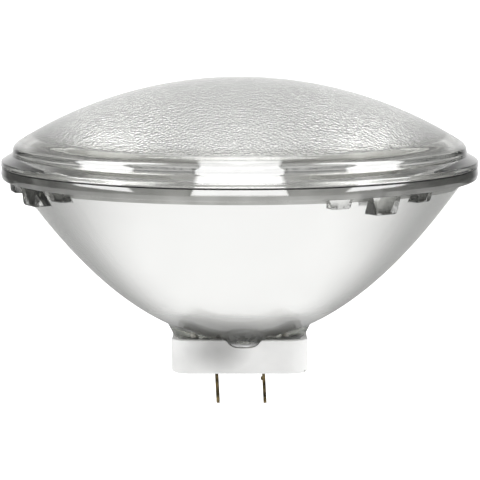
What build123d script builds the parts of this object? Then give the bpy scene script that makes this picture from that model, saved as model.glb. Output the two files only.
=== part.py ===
from build123d import *
from math import radians, sqrt, tan
import os

# Frame: origin at the centre of the base's contact face, +Z along the lamp axis towards the lens,
# X along the line through the two blades. Azimuths run from -Y (front) towards +X. Millimetres.

# Ceramic base
BASE_W = 50.6            # along X, at its widest
BASE_D = 45.0            # along Y, at its widest
BASE_H = 12.6
BASE_CORNER = 7.0        # plan radius of the four corners
BASE_DRAFT = 0.4         # degrees, narrower towards the blades
BASE_WALL = 2.4
BASE_FLOOR = 4.5
BASE_EDGE = 1.2          # rounding of the edges round the contact face
BASE_LIP = 0.5           # rounding of the edges round the top
SIDE_DROP = 2.6          # how much lower the two side walls are, where the side feet bear
SIDE_GAP_W = 28.0        # length of that lower stretch

# Reflector glass
NOSE_SINK = 2.5          # how deep the reflector's nose sits below the base's top
REFLECTOR_DEPTH = 61.0   # from the nose to the seat under the rim
NOSE_T = 4.5             # glass thickness on the axis
NOSE_FIT = 0.3           # gap kept between nose and base

# Rim, where the two flanges are fused together
RIM_R = 88.9
SEAT_W = 4.8             # width of the flat seat under the rim
SEAT_FILLET = 0.8        # inside corner between seat and bowl
REFLECTOR_RIM_T = 4.6
RIM_ROUND = 0.8          # rounding of the seat's outer edge
SEAM_ROUND = 0.35        # rounding of each flange at the fused seam

# Front lens
LENS_STEP = 4.1          # how far the rim stands out from the lens wall
LENS_EDGE = 2.0          # height of the lens flange at the rim's edge, before rounding
LENS_SLOPE = 30.0        # degrees, fall of the flange from the wall to the rim's edge
LENS_EDGE_ROUND = 2.6    # rounding of the flange's upper edge
LENS_WALL_H = 3.0
LENS_WALL_T = 3.6
LENS_RISE = 25.1         # crown height over the wall
LENS_T = 4.2             # crown thickness
LENS_SHOULDER = 3.0      # rounding between wall and crown
LENS_HOLLOW = 2.4        # rounding of the inside corner
STEP_FILLET = 0.9        # inside corner where the wall meets the rim

# Locating lugs under the rim, three groups of one tall lug between two low ones
LUG_GROUPS = (-62.3, 37.3, 167.5)   # azimuth of each tall lug, degrees
LUG_SPACING = 12.8                  # azimuth from a tall lug to its low neighbours, degrees
LUG_INSET = 2.5                     # from the rim's edge to the lugs' outer faces
LUG_REACH = 11.0                    # radial length, the inner part being sunk in the bowl's wall
LUG_DRAFT = 14.0                    # degrees on each flank
LUG_ROUND = 0.9
TALL_LUG_W = 9.5                    # width at the tip
TALL_LUG_H = 6.7
LOW_LUG_W = 7.4
LOW_LUG_H = 3.6

# Feet at the rear of the reflector, one on each side of the base
FOOT_COUNT = 4
FOOT_TURN = 5.0          # degrees, how far the feet and the filament mount are turned in the base
FOOT_R = 6.7             # radius of the foot's end, before rounding
FOOT_DRAFT = 28.0        # degrees
FOOT_DROP = 0.2          # how far the feet stand below the nose
FOOT_ROUND = 3.6
FOOT_FIT = 0.3           # gap between a foot and its notch in the base

# Electrical feedthrough in the two side feet
LEAD_HOLE_R = 2.2
FERRULE_INSET = 0.9      # from the flat of the foot to the ferrule's rim
FERRULE_FIT = 2.3        # gap between the ferrule and the base's wall
FERRULE_H = 2.2
FERRULE_WALL = 0.5
FERRULE_BEVEL = 0.7

# Exhaust tube on the nose, tipped off
EXHAUST_R = 3.4
EXHAUST_BORE_R = 1.6
EXHAUST_TIP_T = 1.2
EXHAUST_L = 3.6

# Filament mount
POST_R = 1.0
POST_BEND_R = 3.0
POST_TIP_H = 3.0         # upright end of each post below the filament
POST_STEP_GAP = 3.0      # from the bead up to where the posts step in
COIL_R = 1.4
COIL_PITCH = 2.4
COIL_TURNS = 5
WIRE_R = 0.45            # the finely coiled strand that the coil is wound from, as a six-sided rod
WIRE_SIDES = 6
KNEE_R = 0.6             # where the strand turns into its straight tail
TAIL_L = 3.8             # straight strand beyond each end of the coil
TAIL_SEAT = 0.4          # how far a tail runs past the middle of its post
BEAD_R = 2.2
BEAD_RISE = 8.0          # from the mirrored nose to the bead's axis
BEAD_OVERHANG = 3.0      # bead glass outside each post
HOOK_WIRE_R = 0.3
HOOK_FIT = 0.15          # gap between the coil and the cradle under it
HOOK_ROOT = 2.0          # support wire sunk in the bead

# Contact blades and their straps
BLADE_PITCH = 17.6
BLADE_T = 1.2
BLADE_W = 9.0
BLADE_L = 14.0           # from the contact face to the tip
BLADE_LEAN = 3.0         # degrees, both blades are bent a little to +X
BLADE_CORNER = 2.2
BLADE_FIT = 0.2          # gap round a blade in its slot
HEAD_OVERHANG = 1.5      # blade head beyond the slot at each end
NIB_R = 0.6              # small nib stamped across the right blade
NIB_L = 2.4
NIB_DROP = 4.6           # from the contact face to the nib
STRAP_W = 5.0
STRAP_T = 0.5
STRAP_FIT = 0.3          # gap between a strap's bent end and the base's floor

# Cement pads under the front and rear feet
CEMENT_INSET = 0.3       # from the flat of the foot to the pad's edge

# Heights and radii that follow
NOSE_Z = BASE_H - NOSE_SINK
SEAT_Z = NOSE_Z + REFLECTOR_DEPTH
SEAM_Z = SEAT_Z + REFLECTOR_RIM_T
EDGE_Z = SEAM_Z + LENS_EDGE
STEP_Z = EDGE_Z + LENS_STEP * tan(radians(LENS_SLOPE))
CORNER_Z = STEP_Z + LENS_WALL_H
APEX_Z = CORNER_Z + LENS_RISE
NECK_R = RIM_R - SEAT_W
LENS_WALL_R = RIM_R - LENS_STEP
BORE_R = LENS_WALL_R - LENS_WALL_T
MIRROR_Z = NOSE_Z + NOSE_T
FOCUS_Z = MIRROR_Z + BORE_R**2 / (4 * (SEAM_Z - MIRROR_Z))
FOOT_Z = NOSE_Z - FOOT_DROP
FOOT_AZIMUTHS = [FOOT_TURN + 360 * k / FOOT_COUNT for k in range(FOOT_COUNT)]
FOOT_FLAT_R = FOOT_R - FOOT_ROUND * tan(radians(45 - FOOT_DRAFT / 2))
FERRULE_R = FOOT_FLAT_R - FERRULE_INSET
FOOT_RING_R = BASE_W / 2 - BASE_WALL - FERRULE_FIT - FERRULE_R   # lamp axis to each foot's axis
FERRULE_Z = FOOT_Z - FERRULE_H
BEAD_Z = MIRROR_Z + BEAD_RISE
COIL_L = COIL_PITCH * COIL_TURNS
POST_TIP_Z = FOCUS_Z - COIL_R - WIRE_R
POST_TIP_X = COIL_L / 2 + TAIL_L - TAIL_SEAT
SIDES = {"left": -1, "right": 1}


def revolved(line):
    """Turn a closed XZ outline about the lamp axis."""
    return revolve(make_face(line), Axis.Z)


def parabola(r, z_vertex, z_edge):
    """Exact parabola from the axis to radius r, as a quadratic curve."""
    return Bezier((0, 0, z_vertex), (r / 2, 0, z_vertex), (r, 0, z_edge))


def bowl(r, z_vertex, z_edge):
    """Solid paraboloid with a flat top."""
    curve = parabola(r, z_vertex, z_edge)
    lid = Polyline((r, 0, z_edge), (0, 0, z_edge), (0, 0, z_vertex))
    return revolved(curve + lid)


def corner(face, r, z):
    """The vertex of an XZ outline nearest to a radius and a height."""
    return face.vertices().sort_by_distance((r, 0, z))[0]


def at_azimuth(azimuth):
    """Turn about the lamp axis, from the front towards +X."""
    return Rot(0, 0, azimuth)


def at_foot(side):
    """Move onto the axis of the left or right foot."""
    return at_azimuth(FOOT_TURN) * Pos(side * FOOT_RING_R, 0, 0)


def upright(radius, z_low, z_high):
    """Cylinder on the Z axis between two heights."""
    return Pos(0, 0, z_low) * Cylinder(
        radius, z_high - z_low, align=(Align.CENTER, Align.CENTER, Align.MIN)
    )


# Glass

def front_lens():
    """Domed crown, upright wall and flange, turned from one outline."""
    crown_r = (LENS_WALL_R**2 + LENS_RISE**2) / (2 * LENS_RISE)
    hollow_z = APEX_Z - crown_r + sqrt((crown_r - LENS_T) ** 2 - BORE_R**2)
    crown = TangentArc((0, 0, APEX_Z), (LENS_WALL_R, 0, CORNER_Z), tangent=(1, 0, 0))
    wall = Line((LENS_WALL_R, 0, CORNER_Z), (LENS_WALL_R, 0, STEP_Z))
    flange = Polyline(
        (LENS_WALL_R, 0, STEP_Z),
        (RIM_R, 0, EDGE_Z),
        (RIM_R, 0, SEAM_Z),
        (BORE_R, 0, SEAM_Z),
        (BORE_R, 0, hollow_z),
    )
    hollow = TangentArc((0, 0, APEX_Z - LENS_T), (BORE_R, 0, hollow_z), tangent=(1, 0, 0))
    axis = Line((0, 0, APEX_Z - LENS_T), (0, 0, APEX_Z))
    face = make_face(crown + wall + flange + hollow + axis)
    face = fillet(corner(face, LENS_WALL_R, CORNER_Z), LENS_SHOULDER)
    face = fillet(corner(face, LENS_WALL_R, STEP_Z), STEP_FILLET)
    face = fillet(corner(face, RIM_R, EDGE_Z), LENS_EDGE_ROUND)
    face = fillet(corner(face, RIM_R, SEAM_Z), SEAM_ROUND)
    face = fillet(corner(face, BORE_R, hollow_z), LENS_HOLLOW)
    return revolve(face, Axis.Z)


def lug(width, height):
    """Locating lug at the front: hangs from the seat, drafted, its inner end sunk in the glass."""
    root = REFLECTOR_RIM_T / 2
    spread = tan(radians(LUG_DRAFT))
    top = width / 2 + (height + root) * spread
    outline = Polyline(
        (-top, root), (top, root), (width / 2, -height), (-width / 2, -height), close=True
    )
    outer_face = Plane((0, LUG_INSET - RIM_R, SEAT_Z), x_dir=(1, 0, 0), z_dir=(0, -1, 0))
    block = extrude(outer_face * make_face(outline), -LUG_REACH)
    edges = block.faces().sort_by(Axis.Y)[0].edges() + block.faces().sort_by(Axis.Z)[0].edges()
    return fillet([e for e in edges if e.center().Z < SEAT_Z], LUG_ROUND)


def foot(grow=0.0):
    """Drafted round foot at the front, rooted in the glass, grown where a notch has to clear it."""
    mirror_depth = (SEAM_Z - MIRROR_Z) * (FOOT_RING_R / BORE_R) ** 2
    low = FOOT_Z - grow
    height = MIRROR_Z + mirror_depth - low
    end_r = FOOT_R + grow
    cone = Cone(
        end_r,
        end_r + height * tan(radians(FOOT_DRAFT)),
        height,
        align=(Align.CENTER, Align.CENTER, Align.MIN),
    )
    cone = fillet(cone.edges().sort_by(Axis.Z)[0], FOOT_ROUND)
    return Pos(0, -FOOT_RING_R, low) * cone


def reflector():
    """Pressed paraboloid with its flange, lugs and feet, hollowed to the mirrored parabola."""
    outside = parabola(NECK_R, NOSE_Z, SEAT_Z)
    rim = Polyline((NECK_R, 0, SEAT_Z), (RIM_R, 0, SEAT_Z), (RIM_R, 0, SEAM_Z), (0, 0, SEAM_Z))
    axis = Line((0, 0, SEAM_Z), (0, 0, NOSE_Z))
    face = make_face(outside + rim + axis)
    face = fillet(corner(face, RIM_R, SEAT_Z), RIM_ROUND)
    face = fillet(corner(face, RIM_R, SEAM_Z), SEAM_ROUND)
    body = revolve(face, Axis.Z)
    rings = body.edges().filter_by(GeomType.CIRCLE)
    neck = rings.sort_by(lambda ring: abs(ring.radius - NECK_R))[0]
    body = fillet(neck, SEAT_FILLET)
    for group in LUG_GROUPS:
        body += at_azimuth(group) * lug(TALL_LUG_W, TALL_LUG_H)
        for side in (-LUG_SPACING, LUG_SPACING):
            body += at_azimuth(group + side) * lug(LOW_LUG_W, LOW_LUG_H)
    for azimuth in FOOT_AZIMUTHS:
        body += at_azimuth(azimuth) * foot()
    body -= bowl(BORE_R, MIRROR_Z, SEAM_Z)
    for side in SIDES.values():
        body -= at_foot(side) * upright(LEAD_HOLE_R, 0, FOCUS_Z)
    return body - upright(EXHAUST_BORE_R, 0, FOCUS_Z)


def exhaust_tube():
    """Short glass tube fused to the nose and melted shut at its end."""
    end_z = NOSE_Z - EXHAUST_L
    tube = upright(EXHAUST_R, end_z, MIRROR_Z)
    tube = fillet(tube.edges().sort_by(Axis.Z)[0], EXHAUST_R - EXHAUST_BORE_R)
    tube -= upright(EXHAUST_BORE_R, end_z + EXHAUST_TIP_T, MIRROR_Z)
    return tube - bowl(NECK_R, NOSE_Z, SEAT_Z)


# Filament mount

def ferrule(side):
    """Metal thimble whose rim is sealed to the flat end of a side foot."""
    cup = upright(FERRULE_R, FERRULE_Z, FOOT_Z)
    cup = chamfer(cup.edges().sort_by(Axis.Z)[0], FERRULE_BEVEL)
    cup -= upright(FERRULE_R - FERRULE_WALL, FERRULE_Z + FERRULE_WALL, FOOT_Z)
    return at_foot(side) * cup


def lead_post(side):
    """Stiff wire from the ferrule's floor, stepped in to the end of the filament."""
    tip_x = side * POST_TIP_X
    root_x = side * FOOT_RING_R
    upper_z = POST_TIP_Z - POST_TIP_H
    lower_z = BEAD_Z + BEAD_R + POST_STEP_GAP
    root = (root_x, 0, FERRULE_Z + FERRULE_WALL)
    path = FilletPolyline(
        root, (root_x, 0, lower_z), (tip_x, 0, upper_z), (tip_x, 0, POST_TIP_Z), radius=POST_BEND_R
    )
    return at_azimuth(FOOT_TURN) * sweep(Pos(root) * Circle(POST_R), path=path)


def filament():
    """Single coil along X, its two straight tails lying on the lead posts."""
    helix = Helix(COIL_PITCH, COIL_L, COIL_R)
    section = RegularPolygon(WIRE_R, WIRE_SIDES)
    wire = sweep(Plane(helix @ 0, z_dir=helix % 0) * section, path=helix, is_frenet=True)
    for low, knee in ((-TAIL_L, 0), (COIL_L, COIL_L)):
        wire += Pos(COIL_R, 0, knee) * Sphere(KNEE_R)
        wire += Pos(COIL_R, 0, 0) * upright(WIRE_R, low, low + TAIL_L)
    along_x = Plane((-COIL_L / 2, 0, FOCUS_Z), x_dir=(0, 0, -1), z_dir=(1, 0, 0))
    return at_azimuth(FOOT_TURN) * along_x.location * wire


def support_bead():
    """Glass rod fused round both lead posts, with a socket for the support wire."""
    length = 2 * (FOOT_RING_R + BEAD_OVERHANG)
    bead = Rot(0, 90, 0) * Cylinder(BEAD_R, length)
    bead = chamfer(bead.edges().filter_by(GeomType.CIRCLE), BEAD_R / 2)
    for side in SIDES.values():
        bead -= Pos(side * FOOT_RING_R, 0, 0) * Cylinder(POST_R, 4 * BEAD_R)
    bead -= upright(HOOK_WIRE_R, BEAD_R - HOOK_ROOT, 2 * BEAD_R)
    return at_azimuth(FOOT_TURN) * Pos(0, 0, BEAD_Z) * bead


def support_wire():
    """Thin wire from the bead to a half-round cradle under the middle of the coil."""
    cradle_r = COIL_R + WIRE_R + HOOK_FIT + HOOK_WIRE_R
    arc = CenterArc((0, 0), cradle_r, 180, 180)
    cradle = sweep(Plane(arc @ 0, z_dir=arc % 0) * Circle(HOOK_WIRE_R), path=arc)
    cradle = Pos(0, 0, FOCUS_Z) * Plane.YZ.location * cradle
    cradle += upright(HOOK_WIRE_R, BEAD_Z + BEAD_R - HOOK_ROOT, FOCUS_Z - cradle_r)
    return at_azimuth(FOOT_TURN) * cradle


# Base and contacts

def base_body():
    """Ceramic cup with low side walls, notched for the feet and slotted for the blades."""
    outline = Pos(0, 0, BASE_H) * RectangleRounded(BASE_W, BASE_D, BASE_CORNER)
    block = extrude(outline, -BASE_H, taper=BASE_DRAFT)
    block = fillet(block.faces().sort_by(Axis.Z)[0].edges(), BASE_EDGE)
    block = fillet(block.faces().sort_by(Axis.Z)[-1].edges(), BASE_LIP)
    block -= cavity()
    block -= Pos(0, 0, BASE_H) * Box(2 * BASE_W, SIDE_GAP_W, 2 * SIDE_DROP)
    for azimuth in FOOT_AZIMUTHS:
        block -= at_azimuth(azimuth) * foot(FOOT_FIT)
    block -= bowl(NECK_R, NOSE_Z - NOSE_FIT, SEAT_Z - NOSE_FIT)
    slot = Box(BLADE_T + 2 * BLADE_FIT, BLADE_W + 2 * BLADE_FIT, 4 * BASE_FLOOR)
    for side in SIDES.values():
        block -= Pos(side * BLADE_PITCH / 2, 0, 0) * slot
    return block


def cavity():
    """The hollow of the base, from its floor up."""
    outline = RectangleRounded(
        BASE_W - 2 * BASE_WALL, BASE_D - 2 * BASE_WALL, BASE_CORNER - BASE_WALL
    )
    return extrude(Pos(0, 0, BASE_FLOOR) * outline, BASE_H)


def cement_pad(azimuth):
    """Cement between the flat of a foot and the base's floor, filling up to the wall."""
    pad = upright(FOOT_FLAT_R - CEMENT_INSET, BASE_FLOOR, FOOT_Z)
    return at_azimuth(azimuth) * Pos(0, -FOOT_RING_R, 0) * pad & cavity()


def blade(side):
    """Flat contact blade: its head stands on the base's floor, its tip leans a little."""
    half = BLADE_T / 2
    lean = BLADE_L * tan(radians(BLADE_LEAN))
    section = Polyline(
        (-half, FERRULE_Z),
        (half, FERRULE_Z),
        (half, 0),
        (half + lean, -BLADE_L),
        (lean - half, -BLADE_L),
        (-half, 0),
        close=True,
    )
    plate = extrude(Plane.XZ * make_face(section), BLADE_W / 2, both=True)
    tip = plate.edges().filter_by(Axis.X).sort_by(Axis.Z)[:2]
    plate = fillet(tip, BLADE_CORNER)
    head_w = BLADE_W + 2 * (BLADE_FIT + HEAD_OVERHANG)
    head_h = FERRULE_Z - BASE_FLOOR
    plate += Pos(0, 0, BASE_FLOOR + head_h / 2) * Box(BLADE_T, head_w, head_h)
    if side == SIDES["right"]:
        nib_x = lean * NIB_DROP / BLADE_L - half
        plate += Pos(nib_x, -BLADE_W / 4, -NIB_DROP) * Rot(90, 0, 0) * Cylinder(NIB_R, NIB_L)
    return Pos(side * BLADE_PITCH / 2, 0, 0) * plate


def strap(side):
    """Metal strip under the ferrule, bent down against the blade's outer face."""
    inner = BLADE_PITCH / 2 + BLADE_T / 2
    outer = FOOT_RING_R + FERRULE_R - FERRULE_BEVEL
    under = FERRULE_Z - STRAP_T
    end = BASE_FLOOR + STRAP_FIT
    section = Polyline(
        (side * inner, FERRULE_Z),
        (side * outer, FERRULE_Z),
        (side * outer, under),
        (side * (inner + STRAP_T), under),
        (side * (inner + STRAP_T), end),
        (side * inner, end),
        close=True,
    )
    return extrude(Plane.XZ * make_face(section), STRAP_W / 2, both=True)


parts = {
    "front_lens": front_lens(),
    "reflector": reflector(),
    "exhaust_tube": exhaust_tube(),
    "filament": filament(),
    "support_bead": support_bead(),
    "support_wire": support_wire(),
    "base_body": base_body(),
    "cement_front": cement_pad(FOOT_AZIMUTHS[0]),
    "cement_rear": cement_pad(FOOT_AZIMUTHS[2]),
}
for name, side in SIDES.items():
    parts["ferrule_" + name] = ferrule(side)
    parts["lead_post_" + name] = lead_post(side)
    parts["blade_" + name] = blade(side)
    parts["strap_" + name] = strap(side)

os.makedirs("parts", exist_ok=True)
for name, part in parts.items():
    export_step(part, "parts/" + name + ".step")
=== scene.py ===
import math

import bmesh
import bpy
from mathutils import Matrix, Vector, noise


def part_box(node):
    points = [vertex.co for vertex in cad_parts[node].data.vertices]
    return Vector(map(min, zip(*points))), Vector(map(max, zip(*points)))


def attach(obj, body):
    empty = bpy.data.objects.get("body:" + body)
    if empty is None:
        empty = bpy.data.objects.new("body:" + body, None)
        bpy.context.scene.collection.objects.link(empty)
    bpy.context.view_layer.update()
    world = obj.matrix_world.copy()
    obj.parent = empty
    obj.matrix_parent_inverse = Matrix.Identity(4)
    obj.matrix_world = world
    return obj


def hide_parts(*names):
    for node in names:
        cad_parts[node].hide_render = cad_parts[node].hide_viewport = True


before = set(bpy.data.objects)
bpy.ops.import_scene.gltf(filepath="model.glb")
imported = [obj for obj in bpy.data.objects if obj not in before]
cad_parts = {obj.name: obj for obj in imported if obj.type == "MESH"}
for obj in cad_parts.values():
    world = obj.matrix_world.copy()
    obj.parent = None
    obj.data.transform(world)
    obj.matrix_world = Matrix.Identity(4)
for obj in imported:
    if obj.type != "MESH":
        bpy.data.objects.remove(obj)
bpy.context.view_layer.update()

MM = 0.001
TURN = 2 * math.pi

# Places read from the frame, in metres
lens_low, lens_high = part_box("front_lens")
foot_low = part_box("reflector")[0]
ferrule_low, ferrule_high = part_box("ferrule_right")
base_low, base_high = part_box("base_body")
RIM_R = lens_high.x
SEAM_Z = lens_low.z
APEX_Z = lens_high.z
FOOT_Z = foot_low.z

# Lens
LENS_STEP = 4.1 * MM
LENS_EDGE = 2.0 * MM
LENS_SLOPE = math.radians(30)
LENS_EDGE_ROUND = 0.7 * MM
LENS_WALL_H = 3.0 * MM
LENS_WALL_T = 3.6 * MM
LENS_T = 4.2 * MM
LENS_SHOULDER = 3.0 * MM
LENS_HOLLOW = 2.9 * MM
STEP_FILLET = 0.9 * MM
WALL_LEAN = 0.5 * MM

# Rim and seam
SEAM_ROUND = 0.35 * MM
SEAM_SHARE = 0.8
RIM_ROUND = 0.8 * MM
RIM_LEAN = 0.35 * MM
RIM_CREST = 2.6 * MM
BEAD = 0.1 * MM
BEAD_H = 0.45 * MM
BEAD_TOP = 0.8 * MM
JOINT_GAP = 0.03 * MM

# Reflector and its feet
SEAT_W = 4.8 * MM
SEAT_FILLET = 0.8 * MM
SEAT_RUN = 1.5 * SEAT_FILLET
REFLECTOR_RIM_T = 4.6 * MM
NOSE_T = 4.5 * MM
COAT_DROP = 1.5 * MM
EXHAUST_BORE_R = 1.6 * MM
FOOT_DROP = 0.2 * MM
FOOT_COUNT = 4
FOOT_R = 6.7 * MM
FOOT_ROUND = 3.6 * MM
FOOT_BLEND = 0.5 * MM
FOOT_DRAFT = math.radians(28)

# Lugs under the rim: azimuths and spacing in degrees, and each lug's width and height
LUG_GROUPS = (-62.3, 37.3, 167.5)
LUG_SPACING = 12.8
LUG_INSET = 2.5 * MM
LUG_ROUND = 0.9 * MM
LUG_ROUND_SHARE = 0.45
LUG_DRAFT = math.radians(14)
TALL_LUG = (9.5 * MM, 6.7 * MM)
LOW_LUG = (7.4 * MM, 3.6 * MM)

# Places worked out from the sizes
EDGE_Z = SEAM_Z + LENS_EDGE
STEP_Z = EDGE_Z + LENS_STEP * math.tan(LENS_SLOPE)
CORNER_Z = STEP_Z + LENS_WALL_H
LENS_WALL_R = RIM_R - LENS_STEP
BORE_R = LENS_WALL_R - LENS_WALL_T
CROWN_RISE = APEX_Z - CORNER_Z
CROWN_R = (LENS_WALL_R**2 + CROWN_RISE**2) / (2 * CROWN_RISE)
INNER_CROWN_R = CROWN_R - LENS_T
STIPPLE_R = BORE_R - 2 * LENS_HOLLOW
NOSE_Z = FOOT_Z + FOOT_DROP
SEAT_Z = SEAM_Z - REFLECTOR_RIM_T
NECK_R = RIM_R - SEAT_W
LUG_R = RIM_R - LUG_INSET
MIRROR_Z = NOSE_Z + NOSE_T
FEET_TOP_Z = MIRROR_Z + NOSE_T
COAT_Z = SEAT_Z - COAT_DROP
right_foot = (ferrule_low + ferrule_high) / 2
FOOT_RING_R = math.hypot(right_foot.x, right_foot.y)
FOOT_TURN = math.atan2(right_foot.y, right_foot.x)
FOOT_AZIMUTHS = [FOOT_TURN + TURN * k / FOOT_COUNT for k in range(FOOT_COUNT)]
FEET_END_R = 2 * FOOT_RING_R

# Fineness of the glass meshes
ARC_STEPS = 5
COARSEST_RING = 12
OUTER_RING = 192
STIPPLE_RING = 768
LONGEST_SIDE = 1.4
OUTER_STEP = 2.0 * MM
STIPPLE_STEP = 0.62 * MM
FEET_ROWS = 62
BOWL_ROWS = 26
MIRROR_ROWS = 44
COLUMN_STEP = math.radians(1.0)
WELD = 1e-7
LENS_SHARP = math.radians(40)
BOWL_SHARP = math.radians(32)

# Material slots of the glass pieces, after the glass itself
SEAM_SLOT = 1
COAT_SLOT = 2
COAT_EDGE_SLOT = 3

# Stipple pressed into the inside of the lens, in two sizes
STIPPLE_CELL = 1.3 * MM
STIPPLE_DEPTH = 0.05 * MM
STIPPLE_MARGIN = 1.5 * MM
FINE_STIPPLE = 2.1
FINE_SHARE = 0.5
FINE_SHIFT = Vector((7, 3, 5))
STIPPLE_MARK = "stipple"

# Painted shade: greyer glass at the rim of the lens, most in its hollow corner
RIM_SHADE_MARK = "rim"
RIM_SHADE_GREY = 0.5

# Painted shade: darker glass in the feet and lugs that stand out from the bowl
PAINTED_SHADE_MARK = "shade"
SHADE_FADE = 1.5 * MM
SHADE_TIP = 0.4 * MM
FOOT_PAINTED_SHADE = 0.8

# Painted highlight: pale matt ends of the feet
FOOT_HIGHLIGHT_MARK = "foot_highlight"
FOOT_HIGHLIGHT_H = 1.9 * MM
FOOT_HIGHLIGHT_FADE = 0.5 * MM


# Outlines and meshes

def unit(value):
    """A value held between 0 and 1."""
    return min(1, max(0, value))


def corner_arc(here, before, after, radius):
    """Points of the arc that rounds a corner."""
    back = (before - here).normalized()
    ahead = (after - here).normalized()
    half = back.angle(ahead) / 2
    reach = radius / math.tan(half)
    centre = here + (back + ahead).normalized() * (radius / math.sin(half))
    start = here + back * reach - centre
    end = here + ahead * reach - centre
    turn = start.angle_signed(end)
    points = []
    for k in range(ARC_STEPS + 1):
        a = -turn * k / ARC_STEPS
        arm = Vector((
            start.x * math.cos(a) - start.y * math.sin(a),
            start.x * math.sin(a) + start.y * math.cos(a),
        ))
        points.append(centre + arm)
    return points


def rounded(path):
    """Points of a path of (r, z, radius) corners, each corner turned into an arc of that radius."""
    corners = [Vector((r, z)) for r, z, _ in path]
    points = []
    for i, (_, _, radius) in enumerate(path):
        if radius == 0 or i in (0, len(path) - 1):
            points.append(corners[i])
        else:
            points += corner_arc(corners[i], corners[i - 1], corners[i + 1], radius)
    return points


def finish_mesh(name, bm, sharp):
    """Object from a bmesh, with even normals and soft edges below an angle."""
    bmesh.ops.remove_doubles(bm, verts=bm.verts, dist=WELD)
    bmesh.ops.dissolve_degenerate(bm, edges=bm.edges, dist=WELD)
    bmesh.ops.recalc_face_normals(bm, faces=bm.faces)
    mesh = bpy.data.meshes.new(name)
    bm.to_mesh(mesh)
    bm.free()
    mesh.polygons.foreach_set("use_smooth", [True] * len(mesh.polygons))
    mesh.set_sharp_from_angle(angle=sharp)
    piece = bpy.data.objects.new(name, mesh)
    bpy.context.scene.collection.objects.link(piece)
    return piece


def mark_seam(bm):
    """Seam material on the rounded edge along the fused seam."""
    for face in bm.faces:
        centre = face.calc_center_median()
        level = abs(centre.z - SEAM_Z) < SEAM_SHARE * SEAM_ROUND
        if level and centre.xy.length > RIM_R - RIM_LEAN - SEAM_ROUND:
            face.material_index = SEAM_SLOT


def mark_vertices(piece, name, value_at):
    """Named value on every vertex of a piece, worked out from its place."""
    mark = piece.data.attributes.new(name, "FLOAT", "POINT")
    for vertex, value in zip(piece.data.vertices, mark.data):
        value.value = value_at(vertex.co)


# Lens

def cap_z(radius, r):
    """Height of a dome about the crown's centre."""
    return APEX_Z - CROWN_R + math.sqrt(radius**2 - r**2)


def dome(radius, r_end, step):
    """Points of a dome from the axis to a radius, evenly spaced."""
    count = round(r_end / step)
    radii = [r_end * k / count for k in range(count + 1)]
    return [Vector((r, cap_z(radius, r))) for r in radii]


def ring_size(r, step, most):
    """Segments of a ring, doubled as it widens."""
    size = COARSEST_RING
    while size < most and TURN * r / size > LONGEST_SIDE * step:
        size *= 2
    return size


def stipple(point):
    """Height of the pressed stipple at a point of the lens's inside."""
    p = point / STIPPLE_CELL
    fine = noise.noise(FINE_STIPPLE * p + FINE_SHIFT)
    return STIPPLE_DEPTH * (noise.noise(p) + FINE_SHARE * fine)


class Lathe:
    """Rings of vertices stacked along an outline, each joined to the one before."""

    def __init__(self):
        self.bm = bmesh.new()
        self.last = None

    def ring(self, r, z, size, relief=0):
        """Next ring, raised by a share of the stipple, or a tip on the axis."""
        if r == 0:
            verts = [self.bm.verts.new((0, 0, z))]
        else:
            places = [self.place(r, z, TURN * k / size, relief) for k in range(size)]
            verts = [self.bm.verts.new(point) for point in places]
        if self.last:
            self.join(self.last, verts)
        self.last = verts

    def place(self, r, z, azimuth, relief):
        """Point of a ring."""
        point = Vector((r * math.sin(azimuth), -r * math.cos(azimuth), z))
        if relief:
            point.z += relief * stipple(point)
        return point

    def join(self, one, two):
        """Faces between two rings, whichever has more vertices."""
        if len(one) > len(two):
            self.join_up(two, one, True)
        else:
            self.join_up(one, two, False)

    def join_up(self, few, many, turned):
        """Faces between a ring and one of as many or twice as many vertices, or a tip and a ring."""
        n = len(many)
        ratio = n // len(few)
        for k in range(n):
            a, b = many[k], many[(k + 1) % n]
            c, d = few[k // ratio], few[((k + 1) // ratio) % len(few)]
            face = [a, b, c] if c is d else [a, b, d, c]
            self.bm.faces.new(face[::-1] if turned else face)


def lens_rim(start_r):
    """Outline from the crown over wall and flange, along the seam and up to the stipple."""
    return rounded([
        (start_r, cap_z(CROWN_R, start_r), 0),
        (LENS_WALL_R - WALL_LEAN, CORNER_Z, LENS_SHOULDER),
        (LENS_WALL_R, STEP_Z, STEP_FILLET),
        (RIM_R - BEAD, EDGE_Z, LENS_EDGE_ROUND),
        (RIM_R - BEAD, SEAM_Z + BEAD_TOP, BEAD),
        (RIM_R, SEAM_Z + BEAD_H, BEAD),
        (RIM_R, SEAM_Z + JOINT_GAP, SEAM_ROUND),
        (BORE_R, SEAM_Z + JOINT_GAP, 0),
        (BORE_R, cap_z(INNER_CROWN_R, BORE_R), LENS_HOLLOW),
        (STIPPLE_R, cap_z(INNER_CROWN_R, STIPPLE_R), 0),
    ])


def under_dome(point, r):
    """Whether a point lies on the inside of the lens."""
    return point.z < cap_z(CROWN_R - LENS_T / 2, r)


def stipple_mark(point):
    """1 on the stippled inside of the lens, fading out at its margin."""
    r = math.hypot(point.x, point.y)
    if r >= STIPPLE_R or not under_dome(point, r):
        return 0
    return min(1, (STIPPLE_R - r) / STIPPLE_MARGIN)


def rim_shade_mark(point):
    """Painted shade: 1 in the hollow corner of the lens, less on the rest of its rim, fading out towards
    the dome.
    """
    r = math.hypot(point.x, point.y)
    hollow = r <= BORE_R and point.z > STEP_Z and under_dome(point, r)
    return unit((r - STIPPLE_R) / STIPPLE_MARGIN) * (1 if hollow else RIM_SHADE_GREY)


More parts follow.
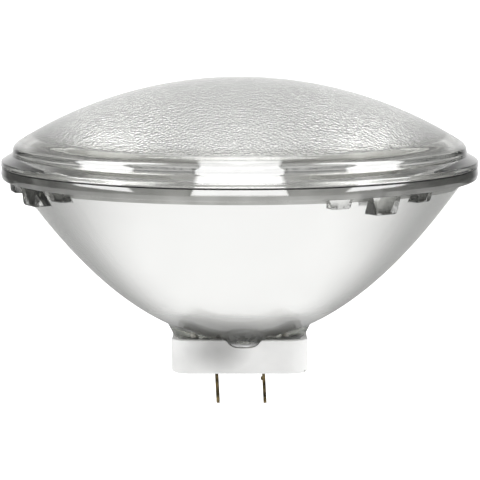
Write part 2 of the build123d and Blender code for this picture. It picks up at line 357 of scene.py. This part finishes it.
def build_lens():
    """Domed front lens: smooth outside, stippled inside, with its stepped flange."""
    lathe = Lathe()
    crown_end = LENS_WALL_R - OUTER_STEP
    for p in dome(CROWN_R, crown_end, OUTER_STEP)[:-1]:
        lathe.ring(p.x, p.y, ring_size(p.x, OUTER_STEP, OUTER_RING))
    for p in lens_rim(crown_end):
        lathe.ring(p.x, p.y, OUTER_RING)
    size = OUTER_RING
    for p in dome(INNER_CROWN_R, STIPPLE_R, STIPPLE_STEP)[::-1][1:]:
        want = ring_size(p.x, STIPPLE_STEP, STIPPLE_RING)
        if want > size:
            size *= 2
        elif want < size:
            size //= 2
        lathe.ring(p.x, p.y, size, min(1, (STIPPLE_R - p.x) / STIPPLE_MARGIN))
    mark_seam(lathe.bm)
    lens = finish_mesh("lens", lathe.bm, LENS_SHARP)
    mark_vertices(lens, STIPPLE_MARK, stipple_mark)
    mark_vertices(lens, RIM_SHADE_MARK, rim_shade_mark)
    return lens


# Reflector

def bowl_z(r):
    """Height of the bowl's outside at a radius."""
    return NOSE_Z + (SEAT_Z - NOSE_Z) * (r / NECK_R) ** 2


def bowl_r(z):
    """Radius of the bowl's outside at a height."""
    return NECK_R * math.sqrt((z - NOSE_Z) / (SEAT_Z - NOSE_Z))


def mirror_z(r):
    """Height of the mirrored inside at a radius."""
    return MIRROR_Z + (SEAM_Z - MIRROR_Z) * (r / BORE_R) ** 2


def foot_z(distance):
    """Underside of a foot at a distance from its own axis."""
    flat_r = FOOT_R - FOOT_ROUND * math.tan(math.pi / 4 - FOOT_DRAFT / 2)
    past = distance - flat_r
    if past <= 0:
        return FOOT_Z
    if past < FOOT_ROUND * math.cos(FOOT_DRAFT):
        return FOOT_Z + FOOT_ROUND - math.sqrt(FOOT_ROUND**2 - past**2)
    return FOOT_Z + (distance - FOOT_R) / math.tan(FOOT_DRAFT)


def lower_of(a, b, blend):
    """The lower of two heights, with a soft inside corner."""
    h = unit(0.5 + 0.5 * (b - a) / blend)
    return b + (a - b) * h - blend * h * (1 - h)


def feet_z(r, azimuth):
    """Underside of the bowl with its four feet."""
    z = bowl_z(r)
    for foot in FOOT_AZIMUTHS:
        away = r**2 + FOOT_RING_R**2 - 2 * r * FOOT_RING_R * math.cos(azimuth - foot)
        z = lower_of(z, foot_z(math.sqrt(max(0, away))), FOOT_BLEND)
    return z


def lug_columns(azimuth, size):
    """(azimuth, depth, outer radius) of the columns across one lug."""
    width, height = size
    root = width / 2 + height * math.tan(LUG_DRAFT)
    outline = rounded([
        (-root, 0, 0),
        (-width / 2, height, LUG_ROUND),
        (width / 2, height, LUG_ROUND),
        (root, 0, 0),
    ])
    columns = []
    for p in outline:
        turn = math.atan2(p.x, LUG_R)
        columns.append((math.radians(azimuth) + turn, p.y, LUG_R / math.cos(turn)))
    return columns


def reflector_columns():
    """Columns round the whole bowl, close together at the lugs."""
    columns = []
    for group in LUG_GROUPS:
        columns += lug_columns(group, TALL_LUG)
        columns += lug_columns(group - LUG_SPACING, LOW_LUG)
        columns += lug_columns(group + LUG_SPACING, LOW_LUG)
    columns = sorted((a % TURN, depth, radius) for a, depth, radius in columns)
    filled = []
    for here, after in zip(columns, columns[1:] + columns[:1]):
        filled.append(here)
        span = (after[0] - here[0]) % TURN
        count = math.ceil(span / COLUMN_STEP)
        for k in range(1, count):
            share = k / count
            depth = here[1] + (after[1] - here[1]) * share
            radius = here[2] + (after[2] - here[2]) * share
            filled.append(((here[0] + span * share) % TURN, depth, radius))
    return filled


def rim_start(depth):
    """Radius at which the bowl's plain outside ends, short of a lug of a depth, which may be 0."""
    return bowl_r(SEAT_Z - depth) - SEAT_RUN


def reflector_rim(depth, lug_r):
    """Outline from the bowl round a lug of a depth, which may be 0, and round the rim to the bore."""
    under = SEAT_Z - depth
    start_r = rim_start(depth)
    points = rounded([
        (start_r, bowl_z(start_r), 0),
        (bowl_r(under), under, SEAT_FILLET),
        (lug_r, under, min(LUG_ROUND, LUG_ROUND_SHARE * depth)),
        (lug_r, SEAT_Z, 0),
        (RIM_R - RIM_LEAN, SEAT_Z, RIM_ROUND),
        (RIM_R, SEAM_Z - RIM_CREST, BEAD),
        (RIM_R - RIM_LEAN, SEAM_Z, SEAM_ROUND),
        (BORE_R, SEAM_Z, 0),
    ])
    if not depth:
        # The missing lug's edge is one point, repeated so that all columns have as many rows
        edge = 1 + ARC_STEPS + 1
        points[edge:edge] = [points[edge]] * ARC_STEPS
    return points


def spread(start, end, count):
    """Evenly spaced values from a start towards an end, which is left out."""
    return [start + (end - start) * k / count for k in range(count)]


def column_profile(azimuth, depth, lug_r):
    """Outline of the reflector at one azimuth, from its bore round the rim to the mirror's bore."""
    feet = spread(EXHAUST_BORE_R, FEET_END_R, FEET_ROWS)
    bowl = spread(FEET_END_R, rim_start(depth), BOWL_ROWS)
    mirror = spread(BORE_R, EXHAUST_BORE_R, MIRROR_ROWS)[1:] + [EXHAUST_BORE_R]
    profile = [(r, feet_z(r, azimuth)) for r in feet]
    profile += [(r, bowl_z(r)) for r in bowl]
    profile += [(p.x, p.y) for p in reflector_rim(depth, lug_r)]
    profile += [(r, mirror_z(r)) for r in mirror]
    return profile


def painted_shade_mark(point):
    """Painted shade on feet and lugs: their depth below the bowl, up to 1, and clear again at the ends
    of the feet.
    """
    under = bowl_z(math.hypot(point.x, point.y)) - point.z
    if under <= 0 or not FOOT_Z + SHADE_TIP < point.z < SEAT_Z - SHADE_TIP:
        return 0
    depth = min(1, under / SHADE_FADE, (point.z - FOOT_Z) / SHADE_FADE)
    return depth * (FOOT_PAINTED_SHADE if point.z < FEET_TOP_Z else 1)


def foot_highlight_mark(point):
    """Painted highlight: 1 on the ends of the feet, fading out above them."""
    up = point.z - FOOT_Z
    return unit((FOOT_HIGHLIGHT_H - up) / FOOT_HIGHLIGHT_FADE)


def build_reflector():
    """Pressed bowl with feet, lugs and flange in clear glass, mirrored on the inside."""
    bm = bmesh.new()
    grid = []
    for azimuth, depth, lug_r in reflector_columns():
        s, c = math.sin(azimuth), math.cos(azimuth)
        profile = column_profile(azimuth, depth, lug_r)
        grid.append([bm.verts.new((r * s, -r * c, z)) for r, z in profile])
    rows = len(grid[0])
    coat_from = rows - MIRROR_ROWS - 1
    for one, two in zip(grid, grid[1:] + grid[:1]):
        for k in range(rows):
            n = (k + 1) % rows
            face = bm.faces.new((one[k], two[k], two[n], one[n]))
            if coat_from <= k < rows - 1:
                face.material_index = COAT_SLOT if one[n].co.z < COAT_Z else COAT_EDGE_SLOT
    mark_seam(bm)
    bowl = finish_mesh("bowl", bm, BOWL_SHARP)
    mark_vertices(bowl, PAINTED_SHADE_MARK, painted_shade_mark)
    mark_vertices(bowl, FOOT_HIGHLIGHT_MARK, foot_highlight_mark)
    return bowl


# Nodes

def fill(made, socket, value):
    """Link a node's output to a socket, or set the socket to a plain value."""
    if isinstance(value, bpy.types.NodeSocket):
        made.node_tree.links.new(value, socket)
    else:
        socket.default_value = value


def set_shader(made, **sockets):
    """Fill sockets of a material's shader by name."""
    shader = made.node_tree.nodes["Principled BSDF"]
    for name, value in sockets.items():
        fill(made, shader.inputs[name.replace("_", " ")], value)


def material(name, **sockets):
    """Node material with its shader's own sockets set."""
    made = bpy.data.materials.new(name)
    made.use_nodes = True
    set_shader(made, **sockets)
    return made


def node(made, kind, **settings):
    """New node in a material, with properties and inputs by name."""
    added = made.node_tree.nodes.new(kind)
    for key, value in settings.items():
        if hasattr(added, key):
            setattr(added, key, value)
        else:
            fill(made, added.inputs[key.replace("_", " ")], value)
    return added


def maths(made, operation, *values):
    """Output of a math node on outputs or plain numbers."""
    added = node(made, "ShaderNodeMath", operation=operation)
    for socket, value in zip(added.inputs, values):
        fill(made, socket, value)
    return added.outputs[0]


def clamp(made, value):
    """A value held between 0 and 1."""
    return maths(made, "MINIMUM", maths(made, "MAXIMUM", value, 0), 1)


def choose(made, factor, one, two):
    """The first value, or the second where the factor is 1."""
    added = node(made, "ShaderNodeMix", data_type="FLOAT")
    fill(made, added.inputs[0], factor)
    fill(made, added.inputs[2], one)
    fill(made, added.inputs[3], two)
    return added.outputs[0]


def multiply(made, one, two):
    """Product of two colours."""
    added = node(made, "ShaderNodeMix", data_type="RGBA", blend_type="MULTIPLY")
    fill(made, added.inputs[0], 1)
    fill(made, added.inputs[6], one)
    fill(made, added.inputs[7], two)
    return added.outputs[2]


def ramp(made, factor, stops):
    """Colour by a factor, from stops of position and colour."""
    added = node(made, "ShaderNodeValToRGB", Fac=factor)
    elements = added.color_ramp.elements
    while len(elements) < len(stops):
        elements.new(0.5)
    for element, (position, colour) in zip(elements, stops):
        element.position = position
        element.color = (*colour, 1)
    return added.outputs[0]


def level_ramp(made, factor, stops):
    """Grey level by a factor, from stops of position and level."""
    return ramp(made, factor, [(position, (level,) * 3) for position, level in stops])


def place_on(made):
    """Place of a point in its object."""
    return node(made, "ShaderNodeTexCoord").outputs["Object"]


def place_axis(made, axis):
    """Coordinate of a point along one axis of its object."""
    return node(made, "ShaderNodeSeparateXYZ", Vector=place_on(made)).outputs[axis]


def from_axis(made):
    """Distance of a point from the lamp's axis."""
    x = maths(made, "POWER", place_axis(made, "X"), 2)
    y = maths(made, "POWER", place_axis(made, "Y"), 2)
    return maths(made, "SQRT", maths(made, "ADD", x, y))


def noise_texture(made, size, detail=2.0):
    """Random level that changes over a size."""
    texture = node(made, "ShaderNodeTexNoise", Vector=place_on(made), Scale=1 / size, Detail=detail)
    return texture.outputs[0]


def marked(made, name):
    """Value that the mesh's vertices hold under a name."""
    return node(made, "ShaderNodeAttribute", attribute_name=name).outputs["Fac"]


def bump(made, height, depth, below=None):
    """Normal of a relief of a depth, on top of another relief where one is given."""
    relief = node(made, "ShaderNodeBump", Height=height, Distance=depth)
    if below is not None:
        fill(made, relief.inputs["Normal"], below)
    return relief.outputs[0]


# Materials

WHITE = (1, 1, 1, 1)
GLASS_IOR = 1.47
GLASS_TINT = (0.33, 0.36, 0.28)
GLASS_DENSITY = 8

# Fire-polished outside of the rim
POLISH_R = BORE_R + 0.1 * MM
POLISH_IOR = 2.8

# Dull nose of the mirror coat
DULL_Z = 19 * MM
CLEAR_Z = 27 * MM
DULL_NOSE = 0.65

# Painted shade: grey patch on the front of the base, under the overhang of the bowl
BASE_SHADE_AT = (-8 * MM, -22 * MM, 9 * MM)
BASE_SHADE_REACH = (13 * MM, 9 * MM, 9 * MM)

# What tells the faces of the hollow in the base, which get painted shade, from those of its outside and
# notches
CAVITY_SLOT = 1
WALL_FACING = -0.1
FLOOR_FACING = 0.9
NOTCH_DROP = 1.0 * MM
NOTCH_REACH = 1.5 * FOOT_R
NOTCH_SPREAD = 0.75


def absorb(made, colour, density):
    """Tint that deepens with the thickness of the glass."""
    volume = node(made, "ShaderNodeVolumeAbsorption", Color=(*colour, 1), Density=density)
    fill(made, made.node_tree.nodes["Material Output"].inputs["Volume"], volume.outputs[0])


def polish(made, measure, start):
    """Stronger shine where a measure passes a start, over one millimetre."""
    past = maths(made, "DIVIDE", maths(made, "SUBTRACT", measure, start), MM)
    set_shader(made, Coat_Weight=clamp(made, past), Coat_IOR=POLISH_IOR, Coat_Roughness=0)


def glass(name, wave_size, wave_depth):
    """Clear pressed glass with a slow waviness."""
    made = material(name, Transmission_Weight=1, Roughness=0, IOR=GLASS_IOR, Base_Color=WHITE)
    wave = noise_texture(made, wave_size)
    set_shader(made, Normal=bump(made, wave, wave_depth))
    absorb(made, GLASS_TINT, GLASS_DENSITY)
    return made


def lens_glass():
    """Pressed glass, finely wrinkled where the mesh is marked as stippled, with painted shadow lines
    along the wrinkles and painted shade greyer at the rim.
    """
    made = material("lens_glass", Transmission_Weight=1, Roughness=0, IOR=GLASS_IOR)
    wave = noise_texture(made, 9 * MM)
    grain = noise_texture(made, 0.9 * MM)
    stippled = marked(made, STIPPLE_MARK)
    # Painted shadow: thin dark lines along the ridges of the stipple
    ridge = maths(made, "ABSOLUTE", maths(made, "SUBTRACT", grain, 0.5))
    plain = maths(made, "ADD", ridge, maths(made, "SUBTRACT", 1, stippled))
    crease_shadows = level_ramp(made, plain, [(0, 0.06), (0.05, 1)])
    # Painted shade: greyer glass at the rim, darkest in the hollow corner
    rim = ramp(made, marked(made, RIM_SHADE_MARK), [
        (0, (1, 1, 1)),
        (0.5, (0.66, 0.66, 0.64)),
        (1, (0.2, 0.2, 0.2)),
    ])
    slow = bump(made, wave, 0.02 * MM)
    wrinkle = maths(made, "MULTIPLY", grain, stippled)
    fine = bump(made, wrinkle, 0.27 * MM, below=slow)
    set_shader(made, Base_Color=multiply(made, crease_shadows, rim), Normal=fine)
    absorb(made, GLASS_TINT, GLASS_DENSITY)
    polish(made, from_axis(made), POLISH_R)
    return made


def bowl_glass():
    """Pressed glass, with painted shade darkening it where it stands out from the bowl, and a painted
    highlight as a pale matt patch on the ends of the feet.
    """
    made = glass("bowl_glass", 14 * MM, 0.03 * MM)
    patch = noise_texture(made, 2.5 * MM, detail=3.0)
    # Painted shade on feet and lugs, broken into dark and clear patches
    shade_breakup = level_ramp(made, patch, [(0.44, 0.55), (0.52, 1)])
    shade = maths(made, "MULTIPLY", marked(made, PAINTED_SHADE_MARK), shade_breakup)
    tone = ramp(made, shade, [(0, (1, 1, 1)), (1, (0.015, 0.015, 0.013))])
    # Painted highlight: pale matt patches on the ends of the feet, where the transmission is lowered
    foot_highlight = level_ramp(made, patch, [(0.4, 0.3), (0.55, 1)])
    matt = maths(made, "MULTIPLY", marked(made, FOOT_HIGHLIGHT_MARK), foot_highlight)
    set_shader(made, Base_Color=tone, Transmission_Weight=maths(made, "SUBTRACT", 1, matt))
    polish(made, place_axis(made, "Z"), SEAT_Z)
    return made


def seam_glass():
    """Dark line where the two flanges are fused."""
    made = material("fused_seam", Roughness=0.3)
    patch = noise_texture(made, 6 * MM)
    tone = ramp(made, patch, [(0.35, (0.004, 0.004, 0.004)), (0.7, (0.03, 0.03, 0.028))])
    set_shader(made, Base_Color=tone)
    return made


def mirror_coat():
    """Bright aluminium film, a little cloudy in places and dull round the nose."""
    made = material("mirror_coat", Metallic=1, Base_Color=(0.98, 0.98, 0.97, 1))
    cloud = noise_texture(made, 20 * MM)
    cloudy = level_ramp(made, cloud, [(0.3, 0.1), (0.7, 0.16)])
    height = maths(made, "MULTIPLY", place_axis(made, "Z"), 1 / APEX_Z)
    nose = level_ramp(made, height, [(DULL_Z / APEX_Z, DULL_NOSE), (CLEAR_Z / APEX_Z, 0)])
    set_shader(made, Roughness=maths(made, "ADD", cloudy, nose))
    return made


def mirror_edge():
    """Thin grey film where the coat runs out under the rim."""
    made = material("mirror_edge", Metallic=1, Roughness=0.3)
    cloud = noise_texture(made, 10 * MM)
    tone = ramp(made, cloud, [(0.3, (0.42, 0.42, 0.4)), (0.7, (0.58, 0.58, 0.56))])
    set_shader(made, Base_Color=tone)
    return made


def clear_glass():
    """Fire-polished glass of the tube and the bead."""
    return glass("clear_glass", 4 * MM, 0.02 * MM)


def nickel():
    """Drawn nickel with uneven shine."""
    made = material("drawn_nickel", Metallic=1, Base_Color=(0.62, 0.6, 0.56, 1))
    grain = noise_texture(made, 0.8 * MM, detail=4.0)
    set_shader(made, Roughness=level_ramp(made, grain, [(0.3, 0.22), (0.7, 0.42)]))
    return made


def tungsten():
    """Dull grey wire."""
    made = material("dull_tungsten", Metallic=1, Roughness=0.45)
    grain = noise_texture(made, 0.4 * MM, detail=3.0)
    tone = ramp(made, grain, [(0.3, (0.2, 0.2, 0.21)), (0.7, (0.36, 0.36, 0.37))])
    set_shader(made, Base_Color=tone)
    return made


def painted_base_shade(made):
    """Painted shade: soft grey patch on the base beside the front foot, under the overhang of the bowl.
    """
    patch = node(
        made, "ShaderNodeMapping",
        vector_type="TEXTURE", Vector=place_on(made), Location=BASE_SHADE_AT, Scale=BASE_SHADE_REACH,
    )
    away = node(made, "ShaderNodeVectorMath", operation="LENGTH", Vector=patch.outputs[0])
    return level_ramp(made, away.outputs["Value"], [(0, 0.55), (0.35, 0.64), (1, 1)])


def ceramic():
    """Unglazed white ceramic, faintly mottled, with fine pores, a few dark specks and a patch of painted
    shade beside the front foot.
    """
    made = material("fired_ceramic", Roughness=0.65, Specular_IOR_Level=0.15)
    mottle = noise_texture(made, 18 * MM, detail=3.0)
    tone = ramp(made, mottle, [(0.35, (0.74, 0.74, 0.73)), (0.65, (0.85, 0.85, 0.84))])
    speck = noise_texture(made, 3.2 * MM, detail=0.0)
    dots = ramp(made, speck, [(0.18, (0.45, 0.44, 0.42)), (0.21, (1, 1, 1))])
    spotted = multiply(made, tone, dots)
    pores = noise_texture(made, 0.5 * MM, detail=4.0)
    relief = bump(made, pores, 0.02 * MM)
    # The ceramic's tone is multiplied by the painted shade beside the front foot
    set_shader(made, Base_Color=multiply(made, spotted, painted_base_shade(made)), Normal=relief)
    return made


def cement(name, dark, pale):
    """Dry lamp cement, grainy; the same finish serves as painted shade in the hollow of the base."""
    made = material(name, Roughness=0.9)
    grain = noise_texture(made, 1.2 * MM, detail=5.0)
    tone = ramp(made, grain, [(0.3, dark), (0.7, pale)])
    set_shader(made, Base_Color=tone, Normal=bump(made, grain, 0.1 * MM))
    return made


def brass():
    """Stamped brass gone brown, nearly black in patches."""
    made = material("dull_brass", Metallic=0.1, Specular_IOR_Level=0.1)
    patch = noise_texture(made, 2.5 * MM, detail=4.0)
    tone = ramp(made, patch, [
        (0.35, (0.012, 0.01, 0.006)),
        (0.5, (0.08, 0.06, 0.028)),
        (0.72, (0.24, 0.18, 0.085)),
    ])
    dull = level_ramp(made, patch, [(0.3, 0.65), (0.7, 0.4)])
    set_shader(made, Base_Color=tone, Roughness=dull)
    return made


def dress(names, made):
    """One material on all of the named solids."""
    for name in names:
        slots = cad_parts[name].data.materials
        slots.clear()
        slots.append(made)


def in_notch(point, turn):
    """Whether a point of the base lies in one of the notches for the feet."""
    high = point.z > FOOT_Z - NOTCH_DROP
    near = abs(point.xy.length - FOOT_RING_R) < NOTCH_REACH
    return high and near and abs(math.sin(2 * (turn - FOOT_TURN))) < NOTCH_SPREAD


def paint_cavity_shade(made):
    """Painted shade: a second, darker material on the walls and floor of the hollow in the base, where
    little light reaches.
    """
    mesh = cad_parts["base_body"].data
    mesh.materials.append(made)
    middle = (base_low + base_high) / 2
    for face in mesh.polygons:
        arm = face.center - middle
        outward = face.normal.x * arm.x + face.normal.y * arm.y
        wall = outward < WALL_FACING * arm.xy.length
        floor = face.normal.z > FLOOR_FACING and face.center.z < middle.z
        if (wall or floor) and not in_notch(face.center, math.atan2(arm.y, arm.x)):
            face.material_index = CAVITY_SLOT


# Studio

CAMERA_TARGET = Vector((0, 0, 47.29 * MM))
CAMERA_AZIMUTH = 0.0
CAMERA_PITCH = math.radians(6.85)
CAMERA_DISTANCE = 1.4
CAMERA_LENS = 280.8
CAMERA_SENSOR = 36
CAMERA_NUDGE = 0.12 * MM

# Plain soft light on the lamp, as levels by degrees of azimuth to either side of the camera
LIGHT = [(0, 0.3), (28, 0.3), (42, 1.5), (95, 1.5), (120, 0.5), (180, 0.5)]
LIGHT_LEVEL = 1.42

# Walls in reflections, by degrees of azimuth and, where a name ends in UP, by the sine of elevation
WALLS = [
    (0, 0.2), (20, 0.2), (21.5, 0.02), (23.5, 0.02), (25, 0.2),
    (92, 0.2), (105, 0.08), (150, 0.08), (168, 0.75), (180, 0.9),
]
WALLS_UP = [(0, 1), (0.4, 0.9), (1, 1)]

# Tall windows at the sides, in reflections, and the degrees by which they lean back at the zenith
WINDOW_LEVEL = 2.5
SIDE_WINDOWS = [(44, 0), (46, 1), (77, 1), (81, 0)]
SIDE_WINDOWS_UP = [(0.15, 0), (0.175, 1), (0.92, 1), (0.95, 0)]
SIDE_LEAN = 41

# Window overhead, in reflections, by degrees along the arc from the front horizon over the lamp
OVERHEAD_HALF_W = 0.42
OVERHEAD_TAPER = 0.147
OVERHEAD_EDGE = 60
OVERHEAD_ARC = [
    (7, 0), (10.5, 1), (66, 1), (72, 0.8), (100, 0.8), (106, 1), (113, 1), (114.5, 0),
]

# Room seen through the glass: all round, on the far side and high up at the sides
THROUGH = [(0, 1.5), (40, 1.4), (60, 0.45), (110, 0.4), (180, 0.4)]
FAR_SIDE = [(0, 0), (95, 0), (130, 1), (160, 1), (180, 0.9)]
FAR_SIDE_UP = [(0, 1), (0.05, 1), (0.13, 0.3), (0.24, 1), (0.38, 0.3), (0.55, 0.9), (1, 0.6)]
HIGH_SIDES = [(0, 0.8), (40, 0.8), (50, 2.7), (85, 2.7), (95, 3), (108, 3), (120, 0)]
HIGH_SIDES_UP = [(0.3, 0), (0.45, 1), (0.77, 1), (0.83, 0)]

# Floor as the camera sees it, and its bright pool by distance from the lamp as the glass mirrors it
FLOOR_Z = -0.30
FLOOR_SIZE = 30
FLOOR_WHITE = 0.6
POOL = [(0, 1), (0.24, 1), (0.34, 0.88), (0.42, 0.75), (0.52, 0.57), (0.7, 0.44), (1, 0.4)]
POOL_LEVEL = 1.02
POOL_END = 1.6


def direction(azimuth, elevation):
    """Unit vector, with azimuth counted from the front."""
    flat = math.cos(elevation)
    return Vector((math.sin(azimuth) * flat, -math.cos(azimuth) * flat, math.sin(elevation)))


def add_camera():
    """Long lens a little above the lamp's middle."""
    view = direction(CAMERA_AZIMUTH, CAMERA_PITCH)
    aim = CAMERA_TARGET + direction(CAMERA_AZIMUTH + math.pi / 2, 0) * CAMERA_NUDGE
    data = bpy.data.cameras.new("camera")
    data.lens = CAMERA_LENS
    data.sensor_width = CAMERA_SENSOR
    camera = bpy.data.objects.new("camera", data)
    camera.location = aim + view * CAMERA_DISTANCE
    camera.rotation_euler = (-view).to_track_quat("-Z", "Y").to_euler()
    bpy.context.scene.collection.objects.link(camera)
    bpy.context.scene.camera = camera


def degree_ramp(made, half_turns, stops):
    """Level by an angle in half turns, from stops in degrees."""
    return level_ramp(made, half_turns, [(degrees / 180, level) for degrees, level in stops])


class Sky:
    """Directions of the room: turn from the front in half turns, height, and reach to front and side."""

    def __init__(self, world):
        self.world = world
        place = node(world, "ShaderNodeTexCoord").outputs["Generated"]
        x, y, self.up = node(world, "ShaderNodeSeparateXYZ", Vector=place).outputs
        self.side = maths(world, "ABSOLUTE", x)
        self.front = maths(world, "MULTIPLY", y, -1)
        turn = maths(world, "ABSOLUTE", maths(world, "ARCTAN2", x, self.front))
        self.turn = maths(world, "DIVIDE", turn, math.pi)

    def round_about(self, stops):
        """Level by azimuth."""
        return degree_ramp(self.world, self.turn, stops)

    def upward(self, stops):
        """Level by height."""
        return level_ramp(self.world, self.up, stops)

    def patch(self, around, up):
        """Product of the levels by azimuth and by height."""
        return maths(self.world, "MULTIPLY", self.round_about(around), self.upward(up))


def side_windows(sky):
    """Tall windows to the left and right."""
    lean = maths(sky.world, "MULTIPLY", sky.up, SIDE_LEAN / 180)
    leaning = maths(sky.world, "SUBTRACT", sky.turn, lean)
    across = degree_ramp(sky.world, leaning, SIDE_WINDOWS)
    return maths(sky.world, "MULTIPLY", across, sky.upward(SIDE_WINDOWS_UP))


def overhead_window(sky):
    """Long window that runs from the front over the lamp."""
    arc = maths(sky.world, "ARCTAN2", sky.up, sky.front)
    taper = maths(sky.world, "MULTIPLY", arc, OVERHEAD_TAPER)
    half_width = maths(sky.world, "SUBTRACT", OVERHEAD_HALF_W, taper)
    inside = maths(sky.world, "SUBTRACT", half_width, sky.side)
    across = clamp(sky.world, maths(sky.world, "MULTIPLY", inside, OVERHEAD_EDGE))
    along = degree_ramp(sky.world, maths(sky.world, "DIVIDE", arc, math.pi), OVERHEAD_ARC)
    return maths(sky.world, "MULTIPLY", across, along)


def room_mirrored(sky):
    """Walls and windows as glass and metal mirror them."""
    windows = maths(sky.world, "ADD", overhead_window(sky), side_windows(sky))
    bright = maths(sky.world, "MULTIPLY", windows, WINDOW_LEVEL)
    return maths(sky.world, "ADD", sky.patch(WALLS, WALLS_UP), bright)


def room_through(sky):
    """Room as it is seen through the glass."""
    panels = maths(
        sky.world, "ADD", sky.patch(FAR_SIDE, FAR_SIDE_UP), sky.patch(HIGH_SIDES, HIGH_SIDES_UP)
    )
    return maths(sky.world, "ADD", sky.round_about(THROUGH), panels)


def add_room():
    """White for the camera. For the lamp, plain soft light; in reflections, a room with tall windows."""
    world = bpy.data.worlds.new("studio")
    bpy.context.scene.world = world
    world.use_nodes = True
    back = world.node_tree.nodes["Background"]
    back.inputs["Color"].default_value = WHITE
    sky = Sky(world)
    path = node(world, "ShaderNodeLightPath").outputs
    light = maths(world, "MULTIPLY", sky.round_about(LIGHT), LIGHT_LEVEL)
    seen = choose(world, path["Is Glossy Ray"], light, room_mirrored(sky))
    seen = choose(world, path["Is Transmission Ray"], seen, room_through(sky))
    seen = choose(world, path["Is Camera Ray"], seen, 1)
    fill(world, back.inputs["Strength"], seen)


def mix_shader(made, factor, one, two):
    """The first shader, or the second where the factor is 1."""
    added = node(made, "ShaderNodeMixShader")
    for socket, value in zip(added.inputs, (factor, one, two)):
        fill(made, socket, value)
    return added.outputs[0]


def floor_finish():
    """Pale floor that, where it is mirrored, shows a painted pool of light fading to grey away from the
    lamp, and ends.
    """
    made = material("pale_floor", Roughness=0.9, Base_Color=(0.8, 0.8, 0.8, 1))
    nodes = made.node_tree.nodes
    path = node(made, "ShaderNodeLightPath").outputs
    matt = nodes["Principled BSDF"].outputs[0]
    white = node(made, "ShaderNodeEmission", Strength=FLOOR_WHITE).outputs[0]
    lit = node(made, "ShaderNodeAddShader")
    fill(made, lit.inputs[0], matt)
    fill(made, lit.inputs[1], white)
    reach = node(made, "ShaderNodeVectorMath", operation="LENGTH", Vector=place_on(made))
    away = reach.outputs["Value"]
    pool = level_ramp(made, away, POOL)
    glow = node(made, "ShaderNodeEmission", Strength=POOL_LEVEL, Color=pool).outputs[0]
    clear = node(made, "ShaderNodeBsdfTransparent").outputs[0]
    mirrored = maths(made, "MAXIMUM", path["Is Glossy Ray"], path["Is Transmission Ray"])
    beyond = maths(made, "MULTIPLY", mirrored, maths(made, "GREATER_THAN", away, POOL_END))
    below = node(made, "ShaderNodeNewGeometry").outputs["Backfacing"]
    seen = mix_shader(made, path["Is Camera Ray"], matt, lit.outputs[0])
    seen = mix_shader(made, mirrored, seen, glow)
    seen = mix_shader(made, beyond, seen, clear)
    seen = mix_shader(made, below, seen, clear)
    fill(made, nodes["Material Output"].inputs["Surface"], seen)
    return made


def add_floor():
    """Wide level floor below the lamp."""
    mesh = bpy.data.meshes.new("floor")
    half = FLOOR_SIZE / 2
    corners = [(-half, -half, 0), (half, -half, 0), (half, half, 0), (-half, half, 0)]
    mesh.from_pydata(corners, [], [(0, 1, 2, 3)])
    mesh.materials.append(floor_finish())
    floor = bpy.data.objects.new("floor", mesh)
    floor.location.z = FLOOR_Z
    bpy.context.scene.collection.objects.link(floor)


# Assembly

lens = build_lens()
for made in (lens_glass(), seam_glass()):
    lens.data.materials.append(made)
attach(lens, "root")
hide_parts("front_lens")

bowl = build_reflector()
for made in (bowl_glass(), seam_glass(), mirror_coat(), mirror_edge()):
    bowl.data.materials.append(made)
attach(bowl, "root")
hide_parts("reflector")

nickel_finish = nickel()
dress(["exhaust_tube", "support_bead"], clear_glass())
dress(["ferrule_left", "ferrule_right", "strap_left", "strap_right"], nickel_finish)
dress(["lead_post_left", "lead_post_right", "support_wire"], nickel_finish)
dress(["filament"], tungsten())
dress(["base_body"], ceramic())
dress(["cement_front", "cement_rear"], cement("lamp_cement", (0.6, 0.57, 0.52), (0.76, 0.73, 0.68)))
dress(["blade_left", "blade_right"], brass())
# The hollow in the base gets a darker grey as painted shade, where little light reaches
paint_cavity_shade(cement("cavity_painted_shade", (0.45, 0.45, 0.43), (0.6, 0.6, 0.58)))

add_camera()
add_room()
add_floor()

scene = bpy.context.scene
scene.view_settings.view_transform = "Standard"
scene.cycles.max_bounces = 20
scene.cycles.glossy_bounces = 12
scene.cycles.transmission_bounces = 20
